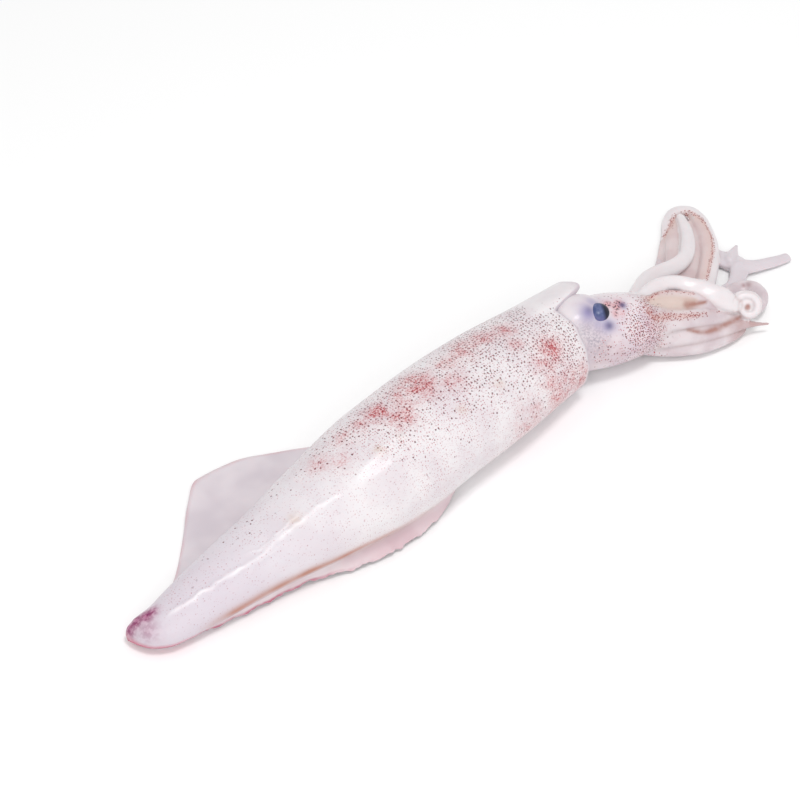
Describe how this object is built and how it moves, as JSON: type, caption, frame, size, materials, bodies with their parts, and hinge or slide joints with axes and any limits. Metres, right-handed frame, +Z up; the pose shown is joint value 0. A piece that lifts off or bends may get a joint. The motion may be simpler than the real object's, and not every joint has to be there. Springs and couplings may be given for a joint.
{
  "type": "whole raw squid",
  "caption": "Whole raw squid laid on its side: tapering mantle with both fins, open collar, head with eyes, and curled arms and tentacles.",
  "frame": {"origin": "middle of the squid's footprint, on the surface that it lies on", "axes": "+X along the body from the tail to the arms, +Y towards the spread fin, +Z up from the surface"},
  "size_m": [0.3234, 0.083, 0.0372],
  "materials": {
    "raw_flesh": "wet, slightly see-through white and pale pink skin with fine dark red spots and red blotches",
    "eye": "wet, cloudy dark blue with a near-black pupil"
  },
  "bodies": {
    "root": {"squid": "raw_flesh", "eye_near": "eye", "eye_far": "eye"}
  },
  "joints": []
}
